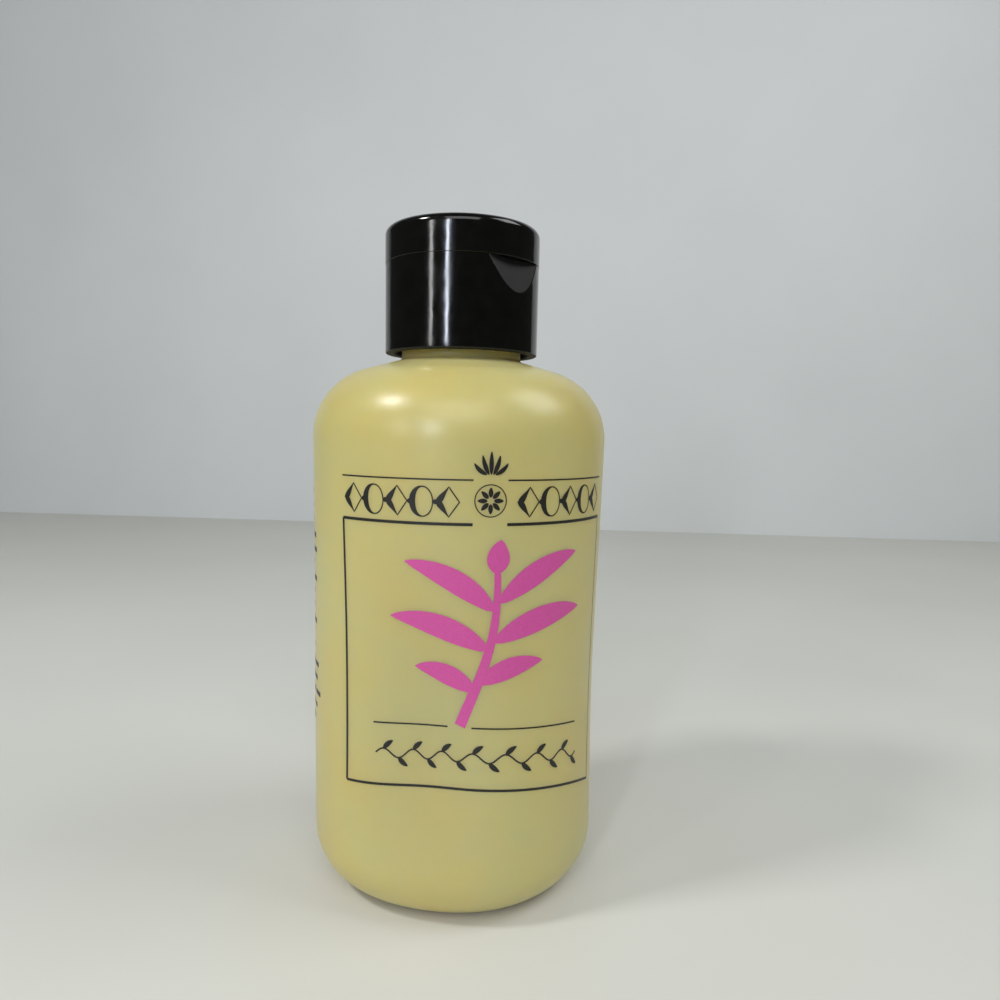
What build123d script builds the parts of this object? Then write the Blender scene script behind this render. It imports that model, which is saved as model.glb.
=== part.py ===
# Squeeze bottle for massage oil, 250 ml, with a screw-on flip-top cap.
# Millimetres, +Z up. The origin is on the floor, on the bottle's axis.
# The front of the bottle faces -Y. The cap stands turned on the neck, as it was screwed home.

import os
from math import cos, pi, radians, sin, sqrt, tan

from build123d import *

# Bottle, blow moulded in natural HDPE
body_radius = 31.0
body_wall = 1.0
shoulder_height = 111.0    # floor to the foot of the neck
shoulder_slope = 14.5      # degrees, the cone around the neck
shoulder_corner = 14.5     # radius between the cone and the straight wall
heel_radius = 11.0         # radius between the straight wall and the standing ring
ring_width = 2.5           # the flat ring that the bottle stands on
push_up = 2.4              # how far the middle of the base stands off the floor
neck_foot_fillet = 0.8

# Neck finish, 28 mm with a 1.5 turn thread
finish_height = 17.9       # foot of the neck to its rim
finish_radius = 12.55      # outside of the neck, between the threads
neck_wall = 1.65
rim_round = 0.4
thread_pitch = 25.4 / 6
thread_turns = 1.5
thread_height = 1.15       # how far the bottle's thread stands out of the neck
thread_root_width = 2.2
thread_crest_width = 1.0
thread_start_drop = 1.2    # rim of the neck to the upper flank of the thread

# Oil
fill_drop = 12.3           # oil's surface under the foot of the neck
oil_gap = 0.05             # between the oil's skin and the wall

# Cap, moulded in black polypropylene
cap_wall = 2.0             # outside of the cap to the threaded cavity
cap_height = 18.0          # the base, from its foot to the lid
cap_foot_gap = 1.5         # neck foot to cap foot
cap_turned = 43.0          # degrees, thumb recess away from the bottle's front
cap_edge = 0.35            # small rounds on the cap's edges
cap_thread_turns = 1.25
cap_thread_root_width = 2.0
cap_thread_crest_width = 0.9
cap_thread_foot = 4.6      # cap foot to the lower end of the cap's thread
land_height = 1.7          # plain seat for the washer, above the threaded part
land_margin = 0.55         # rim of the neck to the wall of that seat
deck_thickness = 1.4
deck_ledge = 1.6           # rim of the base that the lid rests on
orifice_radius = 1.6
nozzle_radius = 4.0
nozzle_height = 2.0
nozzle_flare = 0.5
recess_width = 15.5        # thumb recess, across its top edge
recess_height = 6.9
bead_height = 0.2          # snap bead on the rim of the deck
bead_arc = 40.0            # degrees

# Sealing washer, foamed polyethylene
washer_thickness = 1.0
washer_lip = 1.9           # how far the washer reaches over the neck's bore

# Lid
lid_proud = 0.06           # the lid is this much larger in radius than the base
lid_height = 7.3
lid_top = 1.2
lid_edge = 1.6
plug_engagement = 0.9      # how far the plug reaches into the orifice
guard_wall = 0.9           # ring inside the lid, around the nozzle

# Living hinge, at the back of the cap
hinge_inset = 0.3          # hinge axis inside the cap's outer face
hinge_flat_inset = 0.65    # flats on the base and the lid that carry the films
hinge_notch_half = 3.2     # height of the notch above and below the parting line
hinge_relief = 0.6
film_width = 2.1
film_half_height = 1.9
film_centre = 3.2          # sideways from the middle of the hinge
film_neck = 0.3            # thinnest part of a film
film_groove = 1.0
strap_width = 2.8
strap_thickness = 0.35
strap_half_height = 3.0
strap_foot = 0.8

# Clearances between pieces that move
thread_clearance = 0.3     # crest to the facing wall
lid_clearance = 0.3        # lid wall and guard ring to what they close over
plug_clearance = 0.2
washer_clearance = 0.2

# Heights and radii that follow from those
ring_radius = body_radius - heel_radius - ring_width   # inner edge of the standing ring
finish_bore = finish_radius - neck_wall
fill_level = shoulder_height - fill_drop
rim_z = shoulder_height + finish_height
washer_z = rim_z + washer_thickness              # underside of the deck
cap_foot_z = shoulder_height + cap_foot_gap
parting_z = cap_foot_z + cap_height
deck_z = washer_z + deck_thickness
lid_z = parting_z + lid_height
land_z = washer_z - land_height
thread_radius = finish_radius + thread_height
cavity_radius = thread_radius + thread_clearance
cap_radius = cavity_radius + cap_wall
lid_radius = cap_radius + lid_proud
land_radius = finish_radius + land_margin
deck_radius = cap_radius - deck_ledge
washer_hole = finish_bore - washer_lip
cap_thread_crest = finish_radius + thread_clearance
lid_bore = deck_radius + lid_clearance
ceiling_z = lid_z - lid_top
nozzle_z = deck_z + nozzle_height
slope = radians(shoulder_slope)


def body_outline(inset, neck_radius):
    # Half section of the bottle's skin, moved inwards by inset, up to the rim of the neck
    heel_x = body_radius - heel_radius
    corner_x = body_radius - shoulder_corner
    tangent_x = corner_x + shoulder_corner * sin(slope)
    tangent_z = shoulder_height - (tangent_x - finish_radius) * tan(slope)
    corner_z = tangent_z - shoulder_corner * cos(slope)
    heel_arc = heel_radius - inset
    corner_arc = shoulder_corner - inset
    cone_start = (corner_x + corner_arc * sin(slope), corner_z + corner_arc * cos(slope))
    cone_end_z = shoulder_height - inset / cos(slope) - (neck_radius - finish_radius) * tan(slope)
    dome_middle = (ring_radius / 2, inset + push_up * 3 / 4)    # halfway out on a shallow dome
    edges = [
        ThreePointArc((0, push_up + inset), dome_middle, (ring_radius, inset)),
        Line((ring_radius, inset), (heel_x, inset)),
        CenterArc((heel_x, heel_radius), heel_arc, -90, 90),
        Line((body_radius - inset, heel_radius), (body_radius - inset, corner_z)),
        CenterArc((corner_x, corner_z), corner_arc, 0, 90 - shoulder_slope),
        Line(cone_start, (neck_radius, cone_end_z)),
        Line((neck_radius, cone_end_z), (neck_radius, rim_z)),
        Line((neck_radius, rim_z), (0, rim_z)),
        Line((0, rim_z), (0, push_up + inset)),
    ]
    return Plane.XZ * make_face(edges)


def round_edges(solid, radius, height):
    # The round edges of one radius at one height
    def wanted(edge):
        middle = edge.arc_center
        return abs(edge.radius - radius) < 0.01 and abs(middle.Z - height) < 0.01
    return [edge for edge in solid.edges().filter_by(GeomType.CIRCLE) if wanted(edge)]


def disc(radius, low, high):
    return Pos(0, 0, (low + high) / 2) * Cylinder(radius, high - low)


def thread(root, crest, root_width, crest_width, start, turns):
    # Trapezoid swept along the helix. Its root reaches a little into the wall that carries it.
    path = Pos(0, 0, start) * Helix(thread_pitch, turns * thread_pitch, root)
    bite = -0.3 if crest > root else 0.3
    rise = crest - root
    section = Plane(origin=path @ 0, x_dir=(1, 0, 0), z_dir=path % 0) * make_face(
        Polyline(
            (bite, -root_width / 2),
            (0, -root_width / 2),
            (rise, -crest_width / 2),
            (rise, crest_width / 2),
            (0, root_width / 2),
            (bite, root_width / 2),
            close=True,
        )
    )
    return sweep(section, path=path, is_frenet=True)


def make_bottle():
    skin = revolve(body_outline(0, finish_radius), axis=Axis.Z)
    foot = round_edges(skin, finish_radius, shoulder_height)
    skin = fillet(foot, neck_foot_fillet)
    top_start = rim_z - thread_start_drop - thread_root_width / 2
    start = top_start - thread_turns * thread_pitch
    skin += thread(
        finish_radius, thread_radius, thread_root_width, thread_crest_width, start, thread_turns
    )
    bottle = skin - revolve(body_outline(body_wall, finish_bore), axis=Axis.Z)
    rim = round_edges(bottle, finish_radius, rim_z) + round_edges(bottle, finish_bore, rim_z)
    return fillet(rim, rim_round), start


def make_oil():
    inside = revolve(body_outline(body_wall + oil_gap, finish_bore), axis=Axis.Z)
    return inside & disc(body_radius, 0, fill_level)


def make_washer():
    radius = land_radius - washer_clearance
    return disc(radius, rim_z, washer_z) - disc(washer_hole, rim_z, washer_z)


def hinge_cut():
    # Notch and round relief that make room for the films, the same in the base and the lid
    flat_y = cap_radius - hinge_flat_inset
    deep = 2 * hinge_flat_inset
    wide = 2 * sqrt(cap_radius**2 - flat_y**2) + 2
    notch = Pos(0, flat_y + deep / 2, parting_z) * Box(wide, deep, 2 * hinge_notch_half)
    relief = Pos(0, cap_radius - hinge_inset, parting_z) * Rot(0, 90, 0) * Cylinder(hinge_relief, wide)
    return notch + relief


def make_recess():
    # Flat slanting cut under the lid's rim: deepest at the parting line, running out at its foot
    half = recess_width / 2
    deep_y = -sqrt(cap_radius**2 - half**2)
    low_z = parting_z - recess_height
    outer_y = -cap_radius - 2
    section = Plane.YZ * make_face(
        Polyline(
            (deep_y, parting_z), (-cap_radius, low_z), (outer_y, low_z), (outer_y, parting_z), close=True
        )
    )
    return extrude(section, amount=cap_radius, both=True)


def make_cap_base(bottle_thread_start):
    cap = disc(cap_radius, cap_foot_z, parting_z)
    cap = fillet(round_edges(cap, cap_radius, cap_foot_z), cap_edge)
    cap = chamfer(round_edges(cap, cap_radius, parting_z), cap_edge / 2)
    cap += disc(deck_radius, parting_z - 1, deck_z)
    bead = disc(deck_radius + bead_height, parting_z, deck_z) - disc(deck_radius, parting_z, deck_z)
    wedge = Rot(0, 0, -90 - bead_arc / 2) * Cylinder(
        cap_radius, deck_z, arc_size=bead_arc, align=(Align.CENTER, Align.CENTER, Align.MIN)
    )
    cap += bead & wedge
    cap += disc(nozzle_radius, deck_z, nozzle_z)
    cap -= disc(cavity_radius, cap_foot_z, land_z)
    cap -= disc(land_radius, land_z, washer_z)
    cap -= disc(orifice_radius, washer_z, nozzle_z)
    cap = chamfer(round_edges(cap, orifice_radius, nozzle_z), nozzle_flare)
    cap = fillet(round_edges(cap, nozzle_radius, nozzle_z), cap_edge)
    cap -= make_recess()
    cap -= hinge_cut()
    # The cap's thread lies half a pitch from the bottle's, and the cap's own turn is added back
    turned = thread_pitch * cap_turned / 360
    phase = bottle_thread_start + turned - thread_pitch / 2
    lowest = cap_foot_z + cap_thread_foot
    start = phase - thread_pitch * ((phase - lowest) // thread_pitch)
    return cap + thread(
        cavity_radius, cap_thread_crest, cap_thread_root_width, cap_thread_crest_width,
        start, cap_thread_turns,
    )


def make_lid():
    lid = disc(lid_radius, parting_z, lid_z)
    lid = fillet(round_edges(lid, lid_radius, lid_z), lid_edge)
    lid = chamfer(round_edges(lid, lid_radius, parting_z), cap_edge / 2)
    lid -= disc(lid_bore, parting_z, ceiling_z)
    guard_low = deck_z + nozzle_height / 2
    guard_bore = nozzle_radius + lid_clearance
    lid += disc(guard_bore + guard_wall, guard_low, ceiling_z) - disc(guard_bore, guard_low, ceiling_z)
    plug = disc(orifice_radius - plug_clearance, nozzle_z - nozzle_flare - plug_engagement, ceiling_z)
    plug_tip = round_edges(plug, orifice_radius - plug_clearance, nozzle_z - nozzle_flare - plug_engagement)
    lid += fillet(plug_tip, cap_edge)
    return lid - hinge_cut()


def make_film(side):
    # Web between the two flats, thinned on both faces along the hinge axis
    flat_y = cap_radius - hinge_flat_inset
    axis_y = cap_radius - hinge_inset
    x = side * film_centre
    deep = hinge_flat_inset
    web = Pos(x, flat_y + deep / 2, parting_z) * Box(film_width, deep, 2 * film_half_height)
    groove = Rot(0, 90, 0) * Cylinder(film_groove, film_width)
    reach = film_neck / 2 + film_groove
    return web - Pos(x, axis_y + reach, parting_z) * groove - Pos(x, axis_y - reach, parting_z) * groove


def make_strap():
    # Staple-shaped band that snaps the lid open and shut: its feet sit on the flats
    flat_y = cap_radius - hinge_flat_inset
    deep = hinge_flat_inset
    open_deep = deep - strap_thickness
    band = Pos(0, flat_y + deep / 2, parting_z) * Box(strap_width, deep, 2 * strap_half_height)
    room = Box(strap_width, open_deep, 2 * (strap_half_height - strap_foot))
    return band - Pos(0, flat_y + open_deep / 2, parting_z) * room


bottle, bottle_thread_start = make_bottle()
turn = Rot(0, 0, cap_turned)
nodes = {
    "bottle": bottle,
    "oil_fill": make_oil(),
    "seal_washer": make_washer(),
    "cap_base": turn * make_cap_base(bottle_thread_start),
    "cap_lid": turn * make_lid(),
    "hinge_film_left": turn * make_film(-1),
    "hinge_film_right": turn * make_film(1),
    "snap_strap": turn * make_strap(),
}

os.makedirs("parts", exist_ok=True)
for name, solid in nodes.items():
    export_step(solid, f"parts/{name}.step")

print(f"oil {nodes['oil_fill'].volume / 1000:.0f} ml, height {lid_z:.1f} mm")
print(f"hinge axis {cap_radius - hinge_inset:.2f} mm from the bottle's axis, {parting_z:.1f} mm up")
print(f"lift {thread_pitch / (2 * pi):.4f} mm per radian of turn")
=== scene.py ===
import math
import random

import bpy
from mathutils import Matrix, Vector


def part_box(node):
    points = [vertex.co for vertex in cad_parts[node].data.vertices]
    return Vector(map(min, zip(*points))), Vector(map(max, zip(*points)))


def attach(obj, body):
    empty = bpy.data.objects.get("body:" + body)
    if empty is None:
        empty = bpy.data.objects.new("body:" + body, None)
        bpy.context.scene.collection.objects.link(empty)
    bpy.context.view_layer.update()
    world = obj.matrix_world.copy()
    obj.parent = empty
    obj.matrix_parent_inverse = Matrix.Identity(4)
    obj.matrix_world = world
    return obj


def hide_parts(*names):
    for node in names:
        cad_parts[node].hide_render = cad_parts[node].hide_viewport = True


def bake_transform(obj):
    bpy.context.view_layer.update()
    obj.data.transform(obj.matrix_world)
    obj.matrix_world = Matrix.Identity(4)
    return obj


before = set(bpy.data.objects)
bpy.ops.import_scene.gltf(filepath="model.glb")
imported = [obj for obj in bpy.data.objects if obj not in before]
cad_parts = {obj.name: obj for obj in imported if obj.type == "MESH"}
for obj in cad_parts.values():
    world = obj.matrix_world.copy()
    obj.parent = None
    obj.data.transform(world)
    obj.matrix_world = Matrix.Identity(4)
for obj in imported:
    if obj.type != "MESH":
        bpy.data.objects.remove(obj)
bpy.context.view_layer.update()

mm = 0.001
mergeWithin = 0.004 * mm


def clearSelection():
    if bpy.context.mode != "OBJECT":
        bpy.ops.object.mode_set(mode="OBJECT")
    bpy.ops.object.select_all(action="DESELECT")


def makeActive(piece):
    clearSelection()
    piece.select_set(True)
    bpy.context.view_layer.objects.active = piece


def applyModifier(piece, kind, **settings):
    makeActive(piece)
    modifier = piece.modifiers.new(kind.title(), kind)
    for name, value in settings.items():
        setattr(modifier, name, value)
    bpy.ops.object.modifier_apply(modifier=modifier.name)


def joinInto(piece, others):
    makeActive(piece)
    for other in others:
        other.select_set(True)
    bpy.ops.object.join()
    return piece


def arc(middleX, middleZ, radius, fromAngle, toAngle, steps):
    # Points of a round stretch of an outline, degrees counted from +X towards +Z
    points = []
    for i in range(steps + 1):
        a = math.radians(fromAngle + (toAngle - fromAngle) * i / steps)
        points.append((middleX + radius * math.cos(a), middleZ + radius * math.sin(a)))
    return points


def run(start, end, steps):
    # Evenly spaced points of a straight stretch, both ends included
    return [tuple(a + (b - a) * i / steps for a, b in zip(start, end)) for i in range(steps + 1)]


def lathe(name, outline, steps):
    # One vertex is pushed along the half section (radius, height in mm), then spun all round
    clearSelection()
    bpy.ops.mesh.primitive_plane_add(size=mm)
    piece = bpy.context.object
    piece.name = piece.data.name = name
    bpy.ops.object.mode_set(mode="EDIT")
    bpy.ops.mesh.select_all(action="SELECT")
    bpy.ops.mesh.merge(type="CENTER")
    bpy.ops.transform.translate(value=(outline[0][0] * mm, 0, outline[0][1] * mm))
    for (r0, z0), (r1, z1) in zip(outline, outline[1:]):
        step = ((r1 - r0) * mm, 0, (z1 - z0) * mm)
        bpy.ops.mesh.extrude_vertices_move(TRANSFORM_OT_translate={"value": step})
    bpy.ops.mesh.select_all(action="SELECT")
    bpy.ops.mesh.spin(steps=steps, angle=2 * math.pi, center=(0, 0, 0), axis=(0, 0, 1))
    bpy.ops.mesh.select_all(action="SELECT")
    bpy.ops.mesh.remove_doubles(threshold=mergeWithin)
    bpy.ops.mesh.normals_make_consistent(inside=False)
    bpy.ops.object.mode_set(mode="OBJECT")
    return piece


def smoothEdges(piece, angle):
    makeActive(piece)
    bpy.ops.object.shade_smooth_by_angle(angle=math.radians(angle))


def cutAway(piece, cutter):
    applyModifier(piece, "BOOLEAN", operation="DIFFERENCE", object=cutter, solver="EXACT")
    bpy.data.objects.remove(cutter)


def addThread(name, root, crest, rootWidth, crestWidth, start, turns):
    # Trapezoid wound up the helix by Screw, its ends faded into the wall that carries it
    clearSelection()
    bpy.ops.mesh.primitive_plane_add(size=mm)
    piece = bpy.context.object
    piece.name = piece.data.name = name
    bite = -0.3 if crest > root else 0.3      # how far its root reaches into the wall, mm
    section = [
        (root + bite, -rootWidth / 2), (root, -rootWidth / 2), (crest, -crestWidth / 2),
        (crest, crestWidth / 2), (root, rootWidth / 2), (root + bite, rootWidth / 2),
    ]
    bpy.ops.object.mode_set(mode="EDIT")
    bpy.ops.mesh.select_all(action="SELECT")
    bpy.ops.mesh.merge(type="CENTER")
    bpy.ops.transform.translate(value=(section[0][0] * mm, 0, (start + section[0][1]) * mm))
    for (r0, z0), (r1, z1) in zip(section, section[1:]):
        step = ((r1 - r0) * mm, 0, (z1 - z0) * mm)
        bpy.ops.mesh.extrude_vertices_move(TRANSFORM_OT_translate={"value": step})
    bpy.ops.mesh.select_all(action="SELECT")
    bpy.ops.mesh.edge_face_add()
    bpy.ops.mesh.delete(type="ONLY_FACE")
    bpy.ops.object.mode_set(mode="OBJECT")
    steps = 72      # in each half of the turns
    applyModifier(
        piece, "SCREW", axis="Z", angle=math.pi * turns, screw_offset=threadPitch * turns / 2 * mm,
        iterations=2, steps=steps, render_steps=steps, use_merge_vertices=False,
    )
    count = len(piece.data.vertices)
    wound = count // len(section)
    fade = steps // 5      # rows over which an end rises from the wall
    for vertex in piece.data.vertices:
        station = vertex.index // len(section)
        share = min(1, station / fade, (wound - 1 - station) / fade)
        x, y, z = vertex.co
        reach = math.hypot(x, y) / mm
        target = root + bite * 0.5
        if abs(reach - (root + bite)) > 0.01:
            reach = target + (reach - target) * share
        flat = math.hypot(x, y)
        vertex.co = (x / flat * reach * mm, y / flat * reach * mm, z)
    makeActive(piece)
    bpy.ops.object.mode_set(mode="EDIT")
    bpy.ops.mesh.select_all(action="SELECT")
    bpy.ops.mesh.fill_holes(sides=0)
    bpy.ops.mesh.select_all(action="SELECT")
    bpy.ops.mesh.normals_make_consistent(inside=False)
    bpy.ops.object.mode_set(mode="OBJECT")
    return piece


# Heights and radii come from the frame, in mm

def high(node):
    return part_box(node)[1].z / mm


def low(node):
    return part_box(node)[0].z / mm


rimZ = high("bottle")
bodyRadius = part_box("bottle")[1].x / mm
oilZ = high("oil_fill")
washerZ = high("seal_washer")
footZ = low("cap_base")
partingZ = low("cap_lid")
nozzleZ = high("cap_base")
lidZ = high("cap_lid")
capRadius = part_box("cap_base")[1].x / mm
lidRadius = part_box("cap_lid")[1].x / mm
threadPitch = 25.4 / 6
capTurned = 43.0      # degrees, thumb recess from the front towards +X
turnCap = Matrix.Rotation(math.radians(capTurned), 4, "Z")


def linear(hexColour):
    # sRGB hex to the linear colour that a shader takes
    parts = [int(hexColour[i:i + 2], 16) / 255 for i in (1, 3, 5)]
    return [c / 12.92 if c <= 0.04045 else ((c + 0.055) / 1.055) ** 2.4 for c in parts] + [1.0]


def addNode(owner, kind, inputs, output=None, **settings):
    # Adds one node and gives back one output. An input is a plain value, or a socket to link.
    tree = owner.node_tree
    node = tree.nodes.new(kind)
    for name, value in settings.items():
        setattr(node, name, value)
    for name, value in inputs.items():
        if isinstance(value, bpy.types.NodeSocket):
            tree.links.new(value, node.inputs[name])
        else:
            node.inputs[name].default_value = value
    return None if output is None else node.outputs[output]


def startMaterial(name):
    material = bpy.data.materials.new(name)
    material.use_nodes = True
    material.node_tree.nodes.clear()
    return material


def finishMaterial(material, shader):
    surface = addNode(material, "ShaderNodeBsdfPrincipled", shader, "BSDF")
    addNode(material, "ShaderNodeOutputMaterial", {"Surface": surface})
    return material


def feature(size):
    return 1 / (size * mm)      # texture scale that gives marks of that many mm


noiseRoughness = 0.55
noiseSpan = {"From Min": 0.3, "From Max": 0.7}      # where most of a noise texture's values lie

bottleLook = {
    "body": "#f3d47f", "cloudy": "#e9d98d", "clouds": 22.0, "roughness": 0.32,
    "throughLight": 0.3, "scatter": 6.0, "milky": 0.03,
    "grain": 1.1, "grainDepth": 0.006, "wave": 14.0, "waveDepth": 0.12,
}


def naturalPolyethylene():
    # Blow-moulded HDPE with no pigment: milky, lets the oil's yellow through, with a wide soft highlight
    material = startMaterial("naturalPolyethylene")
    where = addNode(material, "ShaderNodeTexCoord", {}, "Object")
    clouds = addNode(material, "ShaderNodeTexNoise", {
        "Vector": where, "Scale": feature(bottleLook["clouds"]), "Detail": 3, "Roughness": noiseRoughness,
    }, "Fac")
    share = addNode(material, "ShaderNodeMapRange", {"Value": clouds, **noiseSpan}, "Result")
    colour = addNode(material, "ShaderNodeMix", {
        0: share, 6: linear(bottleLook["body"]), 7: linear(bottleLook["cloudy"]),
    }, 2, data_type="RGBA")
    waves = addNode(material, "ShaderNodeTexNoise", {
        "Vector": where, "Scale": feature(bottleLook["wave"]), "Detail": 1, "Roughness": noiseRoughness,
    }, "Fac")
    wavy = addNode(material, "ShaderNodeBump", {
        "Height": waves, "Distance": bottleLook["waveDepth"] * mm, "Strength": 0.35,
    }, "Normal")
    grain = addNode(material, "ShaderNodeTexNoise", {
        "Vector": where, "Scale": feature(bottleLook["grain"]), "Detail": 3, "Roughness": noiseRoughness,
    }, "Fac")
    grained = addNode(material, "ShaderNodeBump", {
        "Height": grain, "Distance": bottleLook["grainDepth"] * mm, "Strength": 0.5, "Normal": wavy,
    }, "Normal")
    return finishMaterial(material, {
        "Base Color": colour, "Normal": grained, "IOR": 1.54, "Roughness": bottleLook["roughness"],
        "Transmission Weight": bottleLook["throughLight"], "Subsurface Weight": 0.7,
        "Subsurface Radius": (1.0, 0.8, 0.35), "Subsurface Scale": bottleLook["scatter"] * mm,
        "Sheen Weight": bottleLook["milky"], "Sheen Roughness": 0.4,
    })


oilLook = {"clear": "#fbdc66", "deep": "#f4d25c", "streak": 30.0, "scatter": 80.0}


def paleOil():
    # Vegetable massage oil: clear, pale yellow, glossy only at its free surface
    material = startMaterial("paleOil")
    where = addNode(material, "ShaderNodeTexCoord", {}, "Object")
    streaks = addNode(material, "ShaderNodeTexNoise", {
        "Vector": where, "Scale": feature(oilLook["streak"]), "Detail": 2, "Roughness": noiseRoughness,
    }, "Fac")
    share = addNode(material, "ShaderNodeMapRange", {"Value": streaks, **noiseSpan}, "Result")
    colour = addNode(material, "ShaderNodeMix", {
        0: share, 6: linear(oilLook["clear"]), 7: linear(oilLook["deep"]),
    }, 2, data_type="RGBA")
    return finishMaterial(material, {
        "Base Color": colour, "IOR": 1.47, "Roughness": 0.12, "Transmission Weight": 0.1,
        "Subsurface Weight": 1.0, "Subsurface Radius": (1.0, 0.8, 0.25),
        "Subsurface Scale": oilLook["scatter"] * mm,
    })


capLook = {
    "black": "#060605", "rubbed": "#0c0c0a", "glossiest": 0.07, "dullest": 0.16,
    "wear": 3.0, "smear": 1.6, "wave": 4.0, "waveDepth": 0.09, "ripple": 1.1, "rippleDepth": 0.004,
    "satin": 0.6,      # roughness of the thumb recess
}


def blackPolypropylene():
    # Injection-moulded polypropylene, carbon black: deep gloss, faint waves, rub marks and a satin recess
    material = startMaterial("blackPolypropylene")
    where = addNode(material, "ShaderNodeTexCoord", {}, "Object")
    worn = addNode(material, "ShaderNodeTexNoise", {
        "Vector": where, "Scale": feature(capLook["wear"]), "Detail": 5, "Roughness": noiseRoughness,
    }, "Fac")
    share = addNode(material, "ShaderNodeMapRange", {"Value": worn, **noiseSpan}, "Result")
    colour = addNode(material, "ShaderNodeMix", {
        0: share, 6: linear(capLook["black"]), 7: linear(capLook["rubbed"]),
    }, 2, data_type="RGBA")
    tall = addNode(material, "ShaderNodeMapping", {"Vector": where, "Scale": (1, 1, 0.3)}, "Vector")
    smear = addNode(material, "ShaderNodeTexNoise", {
        "Vector": tall, "Scale": feature(capLook["smear"]), "Detail": 4, "Roughness": noiseRoughness,
    }, "Fac")
    polished = addNode(material, "ShaderNodeMapRange", {
        "Value": smear, **noiseSpan, "To Min": capLook["glossiest"], "To Max": capLook["dullest"],
    }, "Result")
    flat = addNode(
        material, "ShaderNodeVectorMath", {0: where, 1: (1, 1, 0)}, "Vector", operation="MULTIPLY",
    )
    reach = addNode(material, "ShaderNodeVectorMath", {0: flat}, "Value", operation="LENGTH")
    inside = addNode(
        material, "ShaderNodeMath", {0: reach, 1: (capRadius - 0.08) * mm}, "Value", operation="LESS_THAN",
    )
    height = addNode(material, "ShaderNodeSeparateXYZ", {"Vector": where}, "Z")
    below = addNode(
        material, "ShaderNodeMath", {0: height, 1: (partingZ - 0.1) * mm}, "Value", operation="LESS_THAN",
    )
    recessed = addNode(material, "ShaderNodeMath", {0: inside, 1: below}, "Value", operation="MULTIPLY")
    roughness = addNode(
        material, "ShaderNodeMix", {0: recessed, 2: polished, 3: capLook["satin"]}, 0, data_type="FLOAT",
    )
    waves = addNode(material, "ShaderNodeTexNoise", {
        "Vector": where, "Scale": feature(capLook["wave"]), "Detail": 1, "Roughness": noiseRoughness,
    }, "Fac")
    wavy = addNode(material, "ShaderNodeBump", {
        "Height": waves, "Distance": capLook["waveDepth"] * mm, "Strength": 0.5,
    }, "Normal")
    ripples = addNode(material, "ShaderNodeTexNoise", {
        "Vector": where, "Scale": feature(capLook["ripple"]), "Detail": 2, "Roughness": noiseRoughness,
    }, "Fac")
    rippled = addNode(material, "ShaderNodeBump", {
        "Height": ripples, "Distance": capLook["rippleDepth"] * mm, "Strength": 0.5, "Normal": wavy,
    }, "Normal")
    return finishMaterial(material, {
        "Base Color": colour, "Roughness": roughness, "Normal": rippled, "IOR": 1.49,
    })


foamLook = {"pore": "#dcdcd6", "skin": "#efefea", "cell": 0.35, "cellDepth": 0.05}


def foamedPolyethylene():
    # Closed-cell foam sheet, die cut: white, dull, with fine round cells
    material = startMaterial("foamedPolyethylene")
    where = addNode(material, "ShaderNodeTexCoord", {}, "Object")
    cells = addNode(
        material, "ShaderNodeTexVoronoi", {"Vector": where, "Scale": feature(foamLook["cell"])}, "Distance",
    )
    colour = addNode(material, "ShaderNodeMix", {
        0: cells, 6: linear(foamLook["pore"]), 7: linear(foamLook["skin"]),
    }, 2, data_type="RGBA")
    pitted = addNode(material, "ShaderNodeBump", {
        "Height": cells, "Distance": foamLook["cellDepth"] * mm, "Strength": 0.6,
    }, "Normal")
    return finishMaterial(material, {
        "Base Color": colour, "Normal": pitted, "IOR": 1.5, "Roughness": 0.7, "Subsurface Weight": 0.3,
    })


inkLook = {"mesh": 0.5, "glossiest": 0.36, "dullest": 0.48}


def screenInk(name, colour, thin):
    # Screen-printed ink on polyethylene: even, slightly glossy, a little thin where the mesh left it so
    material = startMaterial(name)
    where = addNode(material, "ShaderNodeTexCoord", {}, "Object")
    mesh = addNode(material, "ShaderNodeTexNoise", {
        "Vector": where, "Scale": feature(inkLook["mesh"]), "Detail": 3, "Roughness": noiseRoughness,
    }, "Fac")
    share = addNode(material, "ShaderNodeMapRange", {"Value": mesh, **noiseSpan}, "Result")
    shade = addNode(
        material, "ShaderNodeMix", {0: share, 6: linear(colour), 7: linear(thin)}, 2, data_type="RGBA",
    )
    gloss = addNode(material, "ShaderNodeMapRange", {
        "Value": mesh, **noiseSpan, "To Min": inkLook["glossiest"], "To Max": inkLook["dullest"],
    }, "Result")
    return finishMaterial(material, {"Base Color": shade, "Roughness": gloss, "IOR": 1.5})


boardLook = {"tone": 160.0, "grain": 0.8, "grainDepth": 0.02}


def paintedBoard(name, colour, shade):
    # Matt painted board of the table and the wall behind: a slow change of tone and a faint roller grain
    material = startMaterial(name)
    where = addNode(material, "ShaderNodeTexCoord", {}, "Object")
    tones = addNode(material, "ShaderNodeTexNoise", {
        "Vector": where, "Scale": feature(boardLook["tone"]), "Detail": 3, "Roughness": noiseRoughness,
    }, "Fac")
    share = addNode(material, "ShaderNodeMapRange", {"Value": tones, **noiseSpan}, "Result")
    tone = addNode(
        material, "ShaderNodeMix", {0: share, 6: linear(colour), 7: linear(shade)}, 2, data_type="RGBA",
    )
    grain = addNode(material, "ShaderNodeTexNoise", {
        "Vector": where, "Scale": feature(boardLook["grain"]), "Detail": 3, "Roughness": noiseRoughness,
    }, "Fac")
    grained = addNode(material, "ShaderNodeBump", {
        "Height": grain, "Distance": boardLook["grainDepth"] * mm, "Strength": 0.3,
    }, "Normal")
    return finishMaterial(material, {"Base Color": tone, "Normal": grained, "IOR": 1.45, "Roughness": 0.55})


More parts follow.
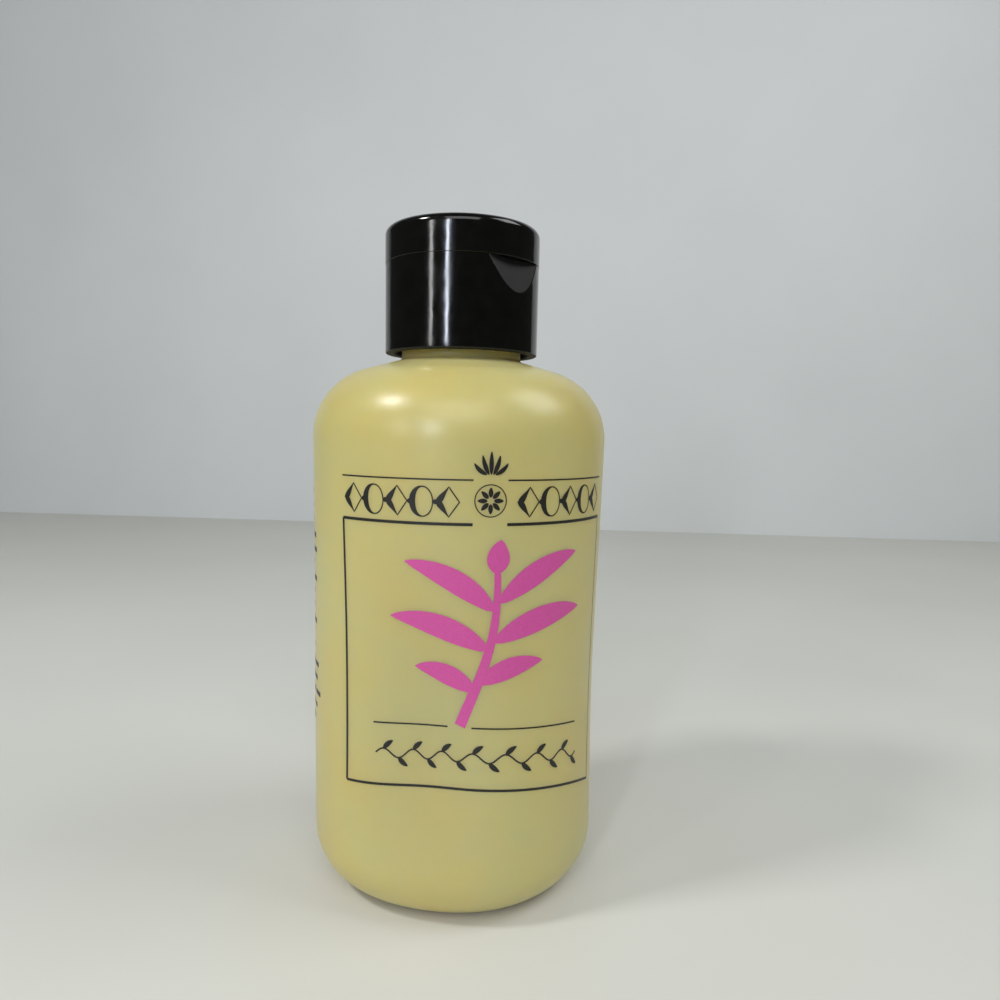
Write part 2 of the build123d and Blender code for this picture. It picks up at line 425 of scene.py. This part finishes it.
polyethylene = naturalPolyethylene()
oilMatter = paleOil()
polypropylene = blackPolypropylene()
foam = foamedPolyethylene()
blackInk = screenInk("blackScreenInk", "#0b0b07", "#1b1a13")
pinkInk = screenInk("magentaScreenInk", "#c94d97", "#c2478f")


def finishPiece(piece, material, body, nodes=()):
    piece.data.materials.clear()
    piece.data.materials.append(material)
    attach(piece, body)
    if nodes:
        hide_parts(*nodes)


bottleSizes = {
    "skin": 0.04,             # the wall lies this much inside the CAD wall, so the ink stays within it
    "wall": 1.0,
    "finishHeight": 17.9,     # foot of the neck to its rim
    "finishRadius": 12.55,
    "neckWall": 1.65,
    "slope": 14.5,            # degrees, the cone around the neck
    "corner": 14.5,           # radius at the shoulder
    "heel": 11.0,             # radius at the base
    "ringWidth": 2.5,
    "pushUp": 2.4,
    "footRound": 0.8,
    "rimRound": 0.4,
    "around": 192,
}
pinchSizes = {"block": (26, 0.7, 1.2), "rise": 0.35, "cuts": 11}      # the mould's seam across the base
threadSizes = {"turns": 1.5, "height": 1.15, "rootWidth": 2.2, "crestWidth": 1.0, "drop": 1.2}
# Where the handled wall is pushed in: angle from the front towards +X, height, depth, and how far it spreads
dents = [
    {"angle": -17, "height": 32, "depth": 4.2, "wide": 19, "tall": 20},
    {"angle": -26, "height": 62, "depth": 1.2, "wide": 20, "tall": 16},
    {"angle": 78, "height": 44, "depth": 0.9, "wide": 24, "tall": 24},
    {"angle": 150, "height": 58, "depth": 1.4, "wide": 30, "tall": 26},
    {"angle": -125, "height": 70, "depth": 0.8, "wide": 26, "tall": 18},
]


def pushedIn(angle, height):
    # How far the wall is pushed in, mm, at an angle in degrees and a height
    total = 0
    for dent in dents:
        away = (angle - dent["angle"] + 180) % 360 - 180
        across = away / dent["wide"]
        up = (height - dent["height"]) / dent["tall"]
        total += dent["depth"] * math.exp(-(across ** 2 + up ** 2) / 2)
    return total


def dentWall(piece):
    # Moves the wall's points inwards, less and less towards the axis
    for vertex in piece.data.vertices:
        x, y, z = vertex.co
        reach = math.hypot(x, y)
        if reach < 1e-6:
            continue
        angle = math.degrees(math.atan2(x, -y))
        depth = pushedIn(angle, z / mm) * mm * (reach / (bodyRadius * mm)) ** 2
        vertex.co = (x * (1 - depth / reach), y * (1 - depth / reach), z)


def skinOutline(inset, neckRadius, topZ):
    # From the middle of the base to the neck, moved inwards by inset
    radius = bodyRadius - bottleSizes["skin"]
    heelX = radius - bottleSizes["heel"]
    cornerX = radius - bottleSizes["corner"]
    slope = math.radians(bottleSizes["slope"])
    neckFoot = rimZ - bottleSizes["finishHeight"]
    tangentX = cornerX + bottleSizes["corner"] * math.sin(slope)
    tangentZ = neckFoot - (tangentX - bottleSizes["finishRadius"]) * math.tan(slope)
    cornerZ = tangentZ - bottleSizes["corner"] * math.cos(slope)
    ringX = heelX - bottleSizes["ringWidth"]
    wider = neckRadius - bottleSizes["finishRadius"]
    coneEndZ = neckFoot - inset / math.cos(slope) - wider * math.tan(slope)
    pushUp = bottleSizes["pushUp"]
    dome = [(ringX * t, inset + pushUp * (1 - t * t)) for t in (0, 0.25, 0.5, 0.7, 0.85, 0.95)]
    points = dome + [(ringX, inset)]
    points += arc(heelX, bottleSizes["heel"], bottleSizes["heel"] - inset, -90, 0, 14)
    points += run((radius - inset, bottleSizes["heel"]), (radius - inset, cornerZ), 36)[1:]
    points += arc(cornerX, cornerZ, bottleSizes["corner"] - inset, 0, 90 - bottleSizes["slope"], 18)[1:]
    points += run(points[-1], (neckRadius + bottleSizes["footRound"], coneEndZ), 4)[1:]
    foot = bottleSizes["footRound"]
    points += arc(neckRadius + foot, coneEndZ + foot, foot, -90, -180, 5)[1:]
    return points + [(neckRadius, topZ)]


def makeBottle():
    rim = bottleSizes["rimRound"]
    outside = skinOutline(0, bottleSizes["finishRadius"], rimZ - rim)
    bore = bottleSizes["finishRadius"] - bottleSizes["neckWall"]
    inside = skinOutline(bottleSizes["wall"], bore, rimZ - rim)
    lip = arc(bottleSizes["finishRadius"] - rim, rimZ - rim, rim, 0, 90, 5)[1:]
    lip += arc(bore + rim, rimZ - rim, rim, 90, 180, 5)[:-1]
    bottle = lathe("bottleShell", outside + lip + inside[::-1], bottleSizes["around"])
    dentWall(bottle)
    root = bottleSizes["finishRadius"]
    top = rimZ - threadSizes["drop"] - threadSizes["rootWidth"] / 2
    start = top - threadSizes["turns"] * threadPitch
    helix = addThread(
        "neckThread", root, root + threadSizes["height"], threadSizes["rootWidth"],
        threadSizes["crestWidth"], start, threadSizes["turns"],
    )
    clearSelection()
    bpy.ops.mesh.primitive_cube_add(size=1, location=(0, 0, 0))
    pinch = bpy.context.object
    bpy.ops.object.mode_set(mode="EDIT")
    bpy.ops.transform.resize(value=[side * mm for side in pinchSizes["block"]])
    bpy.ops.transform.translate(value=(0, 0, (bottleSizes["pushUp"] + pinchSizes["rise"]) * mm))
    bpy.ops.mesh.subdivide(number_cuts=pinchSizes["cuts"])
    bpy.ops.object.mode_set(mode="OBJECT")
    sag = bottleSizes["pushUp"] / (bodyRadius - bottleSizes["heel"] - bottleSizes["ringWidth"]) ** 2
    for vertex in pinch.data.vertices:
        vertex.co.z -= sag * (vertex.co.x / mm) ** 2 * mm
    joinInto(bottle, [helix, pinch])
    smoothEdges(bottle, 32)
    finishPiece(bottle, polyethylene, "bottle", ["bottle"])
    return bottle


oilSizes = {"gap": 0.06, "climb": 0.8, "spread": 1.28, "lip": 0.25}      # it climbs the wall in a meniscus


def makeOil():
    wall = [p for p in skinOutline(bottleSizes["wall"] + oilSizes["gap"], 6, rimZ) if p[1] < oilZ]
    edgeX = wall[-1][0] - oilSizes["lip"]
    levelZ = oilZ - oilSizes["climb"]
    surface = [
        (edgeX - oilSizes["spread"] * i / 5, levelZ + oilSizes["climb"] * (1 - i / 5) ** 2) for i in range(6)
    ]
    surface += [(edgeX * share, levelZ) for share in (0.7, 0.35, 0)]
    oil = lathe("oilFill", wall + surface, bottleSizes["around"])
    dentWall(oil)
    smoothEdges(oil, 40)
    finishPiece(oil, oilMatter, "bottle", ["oil_fill"])
    return oil


bottleShell = makeBottle()
oilFill = makeOil()
print("bottle and oil made")


capSizes = {
    "wall": 2.0,
    "edge": 0.35,
    "landHeight": 1.7, "landRadius": 13.1,
    "deckThickness": 1.4, "deckRadius": 14.4,
    "orifice": 1.6, "nozzle": 4.0, "flare": 0.5,
    "threadTurns": 1.25, "threadRoot": 2.0, "threadCrest": 0.9, "threadReach": 12.85, "threadFoot": 4.6,
    "recessWide": 14.2, "recessTall": 6.9, "recessTurned": -4.0, "seamNip": 0.06,
    "flatInset": 0.65, "axisInset": 0.3, "notchHalf": 3.2, "relief": 0.6,
    "beadHeight": 0.2, "beadArc": 40,
    "around": 160,
}
lidSizes = {
    "bore": 14.7, "top": 1.2, "edge": 1.6, "dish": 0.12, "dishEdge": 1.2, "corner": 0.5,
    "guardBore": 4.3, "guardWall": 0.9, "guardDrop": 1.0,
    "plug": 1.4, "plugReach": 1.4,
}


def hingeCutters():
    # Box for the notch between the flats, and a round relief along the hinge line
    flatY = capRadius - capSizes["flatInset"]
    made = []
    clearSelection()
    bpy.ops.mesh.primitive_cube_add(size=mm)
    notch = bpy.context.object
    bpy.ops.object.mode_set(mode="EDIT")
    wide = 2 * math.sqrt(capRadius ** 2 - flatY ** 2) + 2
    bpy.ops.transform.resize(value=(wide, 2, 2 * capSizes["notchHalf"]))
    bpy.ops.transform.translate(value=(0, (flatY + 1) * mm, partingZ * mm))
    bpy.ops.object.mode_set(mode="OBJECT")
    made.append(notch)
    clearSelection()
    bpy.ops.mesh.primitive_cylinder_add(vertices=48, radius=capSizes["relief"] * mm, depth=wide * mm)
    relief = bpy.context.object
    place = Matrix.Translation((0, (capRadius - capSizes["axisInset"]) * mm, partingZ * mm))
    relief.data.transform(place @ Matrix.Rotation(math.pi / 2, 4, "Y"))
    made.append(relief)
    return made


def thumbCutter():
    # Slanting block that cuts the recess under the lid's rim, deepest at the parting line
    half = capSizes["recessWide"] / 2
    deepY = -math.sqrt(capRadius ** 2 - half ** 2)
    clearSelection()
    bpy.ops.mesh.primitive_cube_add(size=mm)
    block = bpy.context.object
    bpy.ops.object.mode_set(mode="EDIT")
    bpy.ops.transform.resize(value=(2 * capRadius, 6, capSizes["recessTall"] * 2))
    bpy.ops.transform.translate(value=(0, (-capRadius - 3) * mm, partingZ * mm))
    bpy.ops.object.mode_set(mode="OBJECT")
    lean = (deepY + capRadius) / capSizes["recessTall"]
    for vertex in block.data.vertices:      # the inner face leans in towards the top
        if vertex.co.y > -(capRadius + 1) * mm:
            rise = vertex.co.z / mm - (partingZ - capSizes["recessTall"])
            vertex.co.y = (-capRadius + lean * rise) * mm
    block.data.transform(Matrix.Rotation(math.radians(capSizes["recessTurned"]), 4, "Z"))
    return block


def makeCapBase():
    edge = capSizes["edge"]
    deckZ = washerZ + capSizes["deckThickness"]
    landZ = washerZ - capSizes["landHeight"]
    cavity = capRadius - capSizes["wall"]
    nip = edge / 2
    deck = capSizes["deckRadius"]
    outline = [
        (capSizes["orifice"], washerZ),
        (capSizes["orifice"], nozzleZ - capSizes["flare"]),
        (capSizes["orifice"] + capSizes["flare"], nozzleZ),
    ]
    outline += arc(capSizes["nozzle"] - edge, nozzleZ - edge, edge, 90, 0, 6)
    outline += arc(capSizes["nozzle"] + edge, deckZ + edge, edge, 180, 270, 6)
    outline += arc(deck - nip, deckZ - nip, nip, 90, 0, 4)
    seam = capSizes["seamNip"]
    outline += [(deck, partingZ), (capRadius - seam, partingZ)]
    outline += run((capRadius, partingZ - seam), (capRadius, footZ + edge), 12)
    outline += arc(capRadius - edge, footZ + edge, edge, 0, -90, 9)[1:]
    land = capSizes["landRadius"]
    outline += [(cavity + nip, footZ), (cavity, footZ + nip), (cavity, landZ)]
    outline += [(land, landZ), (land, washerZ), (capSizes["orifice"], washerZ)]
    base = lathe("capBase", outline, capSizes["around"])
    for cutter in [thumbCutter()] + hingeCutters():
        cutAway(base, cutter)
    clearSelection()      # snap bead in front of the deck's rim
    bpy.ops.mesh.primitive_torus_add(
        major_segments=160, minor_segments=12,
        major_radius=deck * mm, minor_radius=capSizes["beadHeight"] * mm,
        location=(0, 0, 0),
    )
    bead = bpy.context.object
    bead.data.transform(Matrix.Translation((0, 0, (partingZ + 0.35) * mm)))
    bpy.ops.object.mode_set(mode="EDIT")
    half = math.radians(capSizes["beadArc"] / 2)
    for side in (-1, 1):
        bpy.ops.mesh.select_all(action="SELECT")
        bpy.ops.mesh.bisect(
            plane_co=(0, 0, 0), plane_no=(-side * math.cos(half), -math.sin(half), 0),
            clear_inner=True, use_fill=True,
        )
    bpy.ops.object.mode_set(mode="OBJECT")
    topStart = rimZ - threadSizes["drop"] - threadSizes["rootWidth"] / 2 - threadSizes["turns"] * threadPitch
    phase = topStart + threadPitch * capTurned / 360 - threadPitch / 2
    lowest = footZ + capSizes["threadFoot"]
    start = phase - threadPitch * ((phase - lowest) // threadPitch)
    helix = addThread(
        "capThread", cavity, capSizes["threadReach"], capSizes["threadRoot"], capSizes["threadCrest"],
        start, capSizes["threadTurns"],
    )
    joinInto(base, [bead, helix])
    base.data.transform(turnCap)
    smoothEdges(base, 13)
    finishPiece(base, polypropylene, "cap", ["cap_base"])
    return base


def makeLid():
    edge = lidSizes["edge"]
    ceiling = lidZ - lidSizes["top"]
    deckZ = washerZ + capSizes["deckThickness"]
    nip = capSizes["edge"] / 2
    guardOuter = lidSizes["guardBore"] + lidSizes["guardWall"]
    guardLow = deckZ + lidSizes["guardDrop"]
    plugLow = nozzleZ - lidSizes["plugReach"]
    tip = capSizes["edge"]
    dishZ = lidZ - lidSizes["dish"]
    outline = [(0, dishZ), (lidRadius - edge - lidSizes["dishEdge"], dishZ)]
    outline += arc(lidRadius - edge, lidZ - edge, edge, 90, 0, 10)
    seam = capSizes["seamNip"]
    outline += run((lidRadius, lidZ - edge), (lidRadius, partingZ + seam), 5)[1:]
    bore, corner = lidSizes["bore"], lidSizes["corner"]
    outline += [(lidRadius - seam, partingZ), (bore + nip, partingZ), (bore, partingZ + nip)]
    outline += [(bore, ceiling - corner), (bore - corner, ceiling), (guardOuter, ceiling)]
    guardBore = lidSizes["guardBore"]
    outline += [(guardOuter, guardLow + nip), (guardOuter - nip, guardLow), (guardBore + nip, guardLow)]
    outline += [(guardBore, guardLow + nip), (guardBore, ceiling), (lidSizes["plug"], ceiling)]
    outline += arc(lidSizes["plug"] - tip, plugLow + tip, tip, 0, -90, 5)
    outline += [(0, plugLow)]
    lid = lathe("capLid", outline, capSizes["around"])
    for cutter in hingeCutters():
        cutAway(lid, cutter)
    lid.data.transform(turnCap)
    smoothEdges(lid, 13)
    finishPiece(lid, polypropylene, "lid", ["cap_lid"])
    return lid


capBase = makeCapBase()
capLid = makeLid()
print("cap made")


hingeSizes = {
    "filmWide": 2.1, "filmHalf": 1.9, "filmCentre": 3.2, "neck": 0.3, "groove": 1.0,
    "strapWide": 2.8, "strapThick": 0.35, "strapHalf": 3.0, "strapFoot": 0.8,
}


def bendWithLid(piece, node):
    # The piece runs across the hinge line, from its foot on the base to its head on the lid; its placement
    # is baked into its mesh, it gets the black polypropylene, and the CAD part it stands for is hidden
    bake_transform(piece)
    piece.data.materials.append(polypropylene)
    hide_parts(node)


def hingeBlock(name, wide, half, rows):
    # Upright block between the flats and the cap's outer face, cut into rows
    flatY = capRadius - capSizes["flatInset"]
    clearSelection()
    bpy.ops.mesh.primitive_cube_add(size=mm)
    piece = bpy.context.object
    piece.name = piece.data.name = name
    bpy.ops.object.mode_set(mode="EDIT")
    bpy.ops.transform.resize(value=(wide, capSizes["flatInset"], 2 * half))
    bpy.ops.transform.translate(value=(0, (flatY + capSizes["flatInset"] / 2) * mm, partingZ * mm))
    bpy.ops.mesh.subdivide(number_cuts=rows)
    bpy.ops.object.mode_set(mode="OBJECT")
    return piece


def makeFilm(side, name, node):
    # Web thinned from both faces to its neck on the hinge line
    film = hingeBlock(name, hingeSizes["filmWide"], hingeSizes["filmHalf"], 23)
    axisY = capRadius - capSizes["axisInset"]
    for vertex in film.data.vertices:
        off = abs(vertex.co.z / mm - partingZ)
        free = hingeSizes["neck"] / 2 + hingeSizes["groove"]
        if off < hingeSizes["groove"]:
            free -= math.sqrt(hingeSizes["groove"] ** 2 - off ** 2)
        y = vertex.co.y / mm - axisY
        vertex.co.y = (axisY + max(-free, min(free, y))) * mm
        vertex.co.x += side * hingeSizes["filmCentre"] * mm
    film.data.transform(turnCap)
    smoothEdges(film, 30)
    bendWithLid(film, node)
    return film


def makeStrap():
    # Thin outer band with a foot at each end
    strap = hingeBlock("snapStrap", hingeSizes["strapWide"], hingeSizes["strapHalf"], 29)
    clear = hingeSizes["strapHalf"] - hingeSizes["strapFoot"]
    thinned = hingeSizes["strapThick"] / capSizes["flatInset"]
    for vertex in strap.data.vertices:
        if abs(vertex.co.z / mm - partingZ) < clear:
            vertex.co.y = (capRadius - (capRadius - vertex.co.y / mm) * thinned) * mm
    strap.data.transform(turnCap)
    smoothEdges(strap, 30)
    bendWithLid(strap, "snap_strap")
    return strap


washerSizes = {"hole": 9.0, "soft": 0.15, "around": 128}      # soft: crush of the die-cut edges


def makeWasher():
    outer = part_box("seal_washer")[1].x / mm
    under = low("seal_washer")
    hole, soft = washerSizes["hole"], washerSizes["soft"]
    outline = [(hole, under + soft), (hole + soft, under), (outer - soft, under), (outer, under + soft)]
    outline += [(outer, washerZ - soft), (outer - soft, washerZ)]
    outline += [(hole + soft, washerZ), (hole, washerZ - soft)]
    washer = lathe("sealWasher", outline + outline[:1], washerSizes["around"])
    smoothEdges(washer, 30)
    finishPiece(washer, foam, "washer", ["seal_washer"])
    return washer


makeFilm(-1, "hingeFilmLeft", "hinge_film_left")
makeFilm(1, "hingeFilmRight", "hinge_film_right")
makeStrap()
makeWasher()
print("hinge and washer made")


printSizes = {
    "centre": 5.6,            # degrees, middle of the printed frame from the front towards +X
    "half": 30.3,             # half of the frame's width, along the wall
    "bottom": 28.9, "rule": 41.2, "top": 80.1, "thin": 88.1,
    "droop": (1.1, 5.0),      # how far the frame's foot hangs at its left and right corner
    "lift": 0.01, "thick": 0.022,
}


def onWall(along, height, centre):
    # A point of the print, given by its place along the wall and its height
    angle = centre + math.degrees(along / bodyRadius)
    if centre == printSizes["centre"]:
        fade = max(0, (printSizes["top"] - height) / (printSizes["top"] - printSizes["bottom"]))
        height -= printSizes["droop"][along > 0] * (along / printSizes["half"]) ** 2 * fade
    reach = bodyRadius - bottleSizes["skin"] - pushedIn(angle, height) + printSizes["lift"]
    a = math.radians(angle)
    return (reach * math.sin(a) * mm, -reach * math.cos(a) * mm, height * mm)


def stroke(path, width, steps, centre, across=3):
    # Ribbon of ink: path(u) gives its middle line and width(u) its width, in mm, for u from 0 to 1
    clearSelection()
    bpy.ops.mesh.primitive_grid_add(x_subdivisions=steps, y_subdivisions=across, size=1)
    ribbon = bpy.context.object
    small = 0.001
    for vertex in ribbon.data.vertices:
        u, v = vertex.co.x + 0.5, vertex.co.y
        s0, h0 = path(u - small)
        s1, h1 = path(u + small)
        length = math.hypot(s1 - s0, h1 - h0) or 1
        side = v * width(u)
        s, h = path(u)
        vertex.co = onWall(s - (h1 - h0) / length * side, h + (s1 - s0) / length * side, centre)
    return ribbon


def straight(s0, h0, s1, h1, width, centre=None):
    steps = max(2, int(math.hypot(s1 - s0, h1 - h0)))
    return stroke(
        lambda u: (s0 + (s1 - s0) * u, h0 + (h1 - h0) * u), lambda u: width, steps,
        printSizes["centre"] if centre is None else centre, 2,
    )


def leaf(s0, h0, s1, h1, bow, width, steps=18):
    # Leaf from its foot to its tip, its middle bowed to one side
    bowS, bowH = (s0 + s1) / 2 - (h1 - h0) * bow, (h0 + h1) / 2 + (s1 - s0) * bow

    def path(u):
        a, b, c = (1 - u) ** 2, 2 * u * (1 - u), u * u
        return a * s0 + b * bowS + c * s1, a * h0 + b * bowH + c * h1

    def swell(u):
        u = min(1, max(0, u))
        return 0.12 + width * math.sin(math.pi * u ** 0.85) ** 0.75

    return stroke(path, swell, steps, printSizes["centre"])


def ring(s, h, wide, tall, thin, heavy, corners=False):
    # Closed outline, heavier on its left, round or with four corners
    def path(u):
        a = 2 * math.pi * u
        grow = 1 / (abs(math.cos(a)) + abs(math.sin(a))) if corners else 1
        return s + wide * grow * math.cos(a), h + tall * grow * math.sin(a)

    def swell(u):
        return thin + heavy * max(0, -math.cos(2 * math.pi * u)) ** 1.5

    return stroke(path, swell, 40, printSizes["centre"], 2)


def finishInk(name, ribbons, ink):
    piece = joinInto(ribbons[0], ribbons[1:])
    piece.name = piece.data.name = name
    bpy.ops.object.mode_set(mode="EDIT")
    bpy.ops.mesh.select_all(action="SELECT")
    bpy.ops.mesh.remove_doubles(threshold=mergeWithin)
    bpy.ops.object.mode_set(mode="OBJECT")
    for face in piece.data.polygons:      # every face looks away from the axis before it gets its thickness
        outwards = Vector((face.center.x, face.center.y, 0))
        if face.normal.dot(outwards) < 0:
            face.flip()
    applyModifier(piece, "SOLIDIFY", thickness=printSizes["thick"] * mm, offset=1.0)
    smoothEdges(piece, 40)
    finishPiece(piece, ink, "bottle")
    return piece


bandSizes = {"gap": 3.2, "first": 7.6, "pitch": 4.9, "shapes": 5}
vineSizes = {"start": -23.5, "long": 46.0, "height": 35.2, "leaves": 14, "swing": 0.9, "stem": 0.32}


def makeFrameInk():
    half, top, bottom, thin = (printSizes[k] for k in ("half", "top", "bottom", "thin"))
    gap = bandSizes["gap"]
    lines = [
        straight(-half, thin, -gap, thin, 0.28), straight(gap, thin, half, thin, 0.28),
        straight(-half, top, -gap, top, 0.55), straight(gap, top, half, top, 0.55),
        straight(-half, top, -half, bottom, 0.5), straight(half, top, half, bottom, 0.22),
        straight(-half, bottom, half, bottom, 0.5),
        straight(-24, printSizes["rule"], -7.5, printSizes["rule"], 0.3),
        straight(-2.5, printSizes["rule"], 22, printSizes["rule"], 0.3),
    ]
    middle = (top + thin) / 2
    for side in (-1, 1):      # band of plain rings and lozenges in place of a heading
        for i in range(bandSizes["shapes"]):
            s = side * (bandSizes["first"] + bandSizes["pitch"] * i)
            lines.append(ring(s, middle, 1.95, 2.7, 0.24, 0.95, corners=i % 2 == 0))
            if i + 1 < bandSizes["shapes"]:
                lines.append(ring(s + side * bandSizes["pitch"] / 2, middle, 0.22, 0.3, 0.3, 0.2))
    lines.append(ring(0, middle + 0.3, 2.9, 2.9, 0.2, 0.0))
    for i in range(8):      # rosette of eight petals in the gap
        a = math.pi * i / 4
        lines.append(leaf(
            0.6 * math.cos(a), middle + 0.3 + 0.6 * math.sin(a),
            2.4 * math.cos(a), middle + 0.3 + 2.4 * math.sin(a), 0.0, 0.75, 8,
        ))
    fan = ((-3.1, 3.0, 0.18), (-1.6, 4.4, 0.1), (0, 5.1, 0.0), (1.6, 4.4, -0.1), (3.1, 3.0, -0.18))
    for s, rise, bow in fan:      # fan of leaves over the rosette
        lines.append(leaf(0.25 * s, thin + 1.0, s, thin + rise, bow, 0.7, 12))
    start, long, middle, count = (vineSizes[k] for k in ("start", "long", "height", "leaves"))
    lines.append(stroke(      # running vine in place of a caption
        lambda u: (start + long * u, middle + vineSizes["swing"] * math.sin(count * math.pi * u)),
        lambda u: vineSizes["stem"], 120, printSizes["centre"], 2,
    ))
    for i in range(count):
        s = start + long * (i + 0.5) / count
        side = 1 if i % 2 == 0 else -1
        lines.append(leaf(s, middle + 0.8 * side, s + 2.1, middle + 2.5 * side, 0.12 * side, 0.95, 10))
    return finishInk("frontPrintBlack", lines, blackInk)


sprigSizes = {"foot": 41.5, "top": 76.5, "bud": 5.0}


def makeSprig():
    stemFoot, stemTop = sprigSizes["foot"], sprigSizes["top"]

    def stem(u):
        s = -4.2 + 5.2 * u + 2.2 * math.sin(math.pi * (u - 0.1))
        return s, stemFoot + (stemTop - stemFoot - sprigSizes["bud"]) * u

    strokes = [stroke(stem, lambda u: 2.3 - 1.1 * u, 30, printSizes["centre"])]
    pairs = [(0.28, 13.0, 4.5, 0.16, 3.8), (0.55, 20.5, 6.0, 0.14, 4.4), (0.8, 18.0, 9.0, 0.15, 4.2)]
    for at, reach, rise, bow, width in pairs:      # place on the stem, and size of the two leaves there
        s, h = stem(at)
        strokes.append(leaf(s + 0.4, h, s + reach, h + rise, bow, width))
        strokes.append(leaf(s - 0.4, h - 1.5, s - reach, h - 1.5 + rise, -bow, width))
    s, h = stem(1)
    strokes.append(leaf(s, h - 0.5, s + 0.6, stemTop + 0.8, 0.06, 4.2))
    return finishInk("frontPrintMagenta", strokes, pinkInk)


panelSizes = {"centre": -122.0, "top": 84.0, "rows": 17, "pitch": 3.0, "bar": 1.0, "space": 0.9}


def makeBackPanel():
    # Lines of plain bars round the back, where small print would be
    chance = random.Random(4)
    bars = []
    for row in range(panelSizes["rows"]):
        h = panelSizes["top"] - panelSizes["pitch"] * row
        s = -28.0
        end = 27.0 + chance.uniform(-6.5, 3.0)
        while s < end - 1.5:
            long = min(chance.uniform(1.6, 5.2), end - s)
            bars.append(straight(s, h, s + long, h, panelSizes["bar"], panelSizes["centre"]))
            s += long + panelSizes["space"]
    return finishInk("backPrintBlack", bars, blackInk)


makeFrameInk()
makeSprig()
makeBackPanel()
print("print made")


stageSizes = {"floor": 3000, "wallBack": 620, "wallWide": 1400, "wallHigh": 2200}


def makeStage():
    clearSelection()
    bpy.ops.mesh.primitive_plane_add(size=stageSizes["floor"] * mm)
    floor = bpy.context.object
    floor.name = "floor"
    floor.data.materials.append(paintedBoard("whiteBoardTable", "#d1d2cb", "#cccdc6"))
    clearSelection()
    bpy.ops.mesh.primitive_plane_add(size=stageSizes["wallHigh"] * mm)
    wall = bpy.context.object
    wall.name = "wall"
    place = Matrix.Translation((0, stageSizes["wallBack"] * mm, stageSizes["wallHigh"] * 0.4 * mm))
    turned = Matrix.Rotation(math.radians(-12), 4, "Z") @ Matrix.Rotation(math.pi / 2, 4, "X")
    narrow = Matrix.Diagonal((stageSizes["wallWide"] / stageSizes["wallHigh"], 1, 1, 1))
    wall.data.transform(place @ turned @ narrow)
    wall.data.materials.append(paintedBoard("greyBoardWall", "#d8dbdb", "#d3d6d6"))


lamps = [      # places in mm, each aimed at a height on the axis, and watts
    {"name": "brightStrip", "place": (-332, -666, 285), "aim": 90, "size": (50, 280), "power": 1.4},
    {"name": "dimStrip", "place": (-625, -512, 285), "aim": 90, "size": (65, 280), "power": 0.6},
    {"name": "overhead", "place": (-430, -120, 560), "aim": 60, "size": (100, 80), "power": 1.6},
    {"name": "softFill", "place": (-60, -600, 640), "aim": 60, "size": (600, 400), "power": 2.0},
    {"name": "rightFill", "place": (560, -120, 700), "aim": 70, "size": (400, 400), "power": 2.2},
]
lampTints = {"brightStrip": "#e9f0ff"}      # the rest are white


def addLamp(lamp):
    data = bpy.data.lights.new(lamp["name"], "AREA")
    data.shape = "RECTANGLE"
    data.size, data.size_y = (side * mm for side in lamp["size"])
    data.energy = lamp["power"]
    data.color = linear(lampTints.get(lamp["name"], "#ffffff"))[:3]
    made = bpy.data.objects.new(lamp["name"], data)
    bpy.context.scene.collection.objects.link(made)
    made.location = Vector(lamp["place"]) * mm
    made.rotation_mode = "QUATERNION"
    towards = Vector((0, 0, lamp["aim"])) - Vector(lamp["place"])
    made.rotation_quaternion = towards.to_track_quat("-Z", "Y")


roomLook = {"air": "#d0d2d2", "behind": "#c9cccc", "light": 0.46, "mirrored": 0.07}


def makeLight():
    # Lamps in a plain room, which shows darker in a glossy surface than it is bright
    for lamp in lamps:
        addLamp(lamp)
    world = bpy.data.worlds.new("plainRoom")
    bpy.context.scene.world = world
    world.use_nodes = True
    world.node_tree.nodes.clear()
    air = linear(roomLook["air"])
    room = addNode(
        world, "ShaderNodeBackground", {"Color": air, "Strength": roomLook["light"]}, "Background",
    )
    dark = addNode(
        world, "ShaderNodeBackground", {"Color": air, "Strength": roomLook["mirrored"]}, "Background",
    )
    pale = addNode(world, "ShaderNodeBackground", {"Color": linear(roomLook["behind"])}, "Background")
    glossy = addNode(world, "ShaderNodeLightPath", {}, "Is Glossy Ray")
    lit = addNode(world, "ShaderNodeMixShader", {0: glossy, 1: room, 2: dark}, "Shader")
    seen = addNode(world, "ShaderNodeLightPath", {}, "Is Camera Ray")
    shown = addNode(world, "ShaderNodeMixShader", {0: seen, 1: lit, 2: pale}, "Shader")
    addNode(world, "ShaderNodeOutputWorld", {"Surface": shown})


cameraSizes = {
    "azimuth": -5.0, "distance": 166.1, "height": 96.8,
    "yaw": 2.34, "pitch": 7.31, "roll": 1.15, "lens": 27.5, "shiftX": 0.0104, "shiftY": 0.029,
}


def makeCamera():
    data = bpy.data.cameras.new("frontCamera")
    data.lens = cameraSizes["lens"]
    data.shift_x, data.shift_y = cameraSizes["shiftX"], cameraSizes["shiftY"]
    data.clip_start, data.clip_end = 0.01, 20
    camera = bpy.data.objects.new("frontCamera", data)
    bpy.context.scene.collection.objects.link(camera)
    around = math.radians(cameraSizes["azimuth"])
    place = Vector((math.sin(around), -math.cos(around), 0)) * cameraSizes["distance"]
    place.z = cameraSizes["height"]
    heading = Matrix.Rotation(around - math.radians(cameraSizes["yaw"]), 4, "Z")
    tilt = Matrix.Rotation(math.pi / 2 - math.radians(cameraSizes["pitch"]), 4, "X")
    roll = Matrix.Rotation(math.radians(cameraSizes["roll"]), 4, "Z")
    camera.matrix_world = Matrix.Translation(place * mm) @ heading @ tilt @ roll
    bpy.context.scene.camera = camera


makeStage()
makeLight()
makeCamera()
bpy.context.scene.view_settings.view_transform = "Standard"
print("stage made")
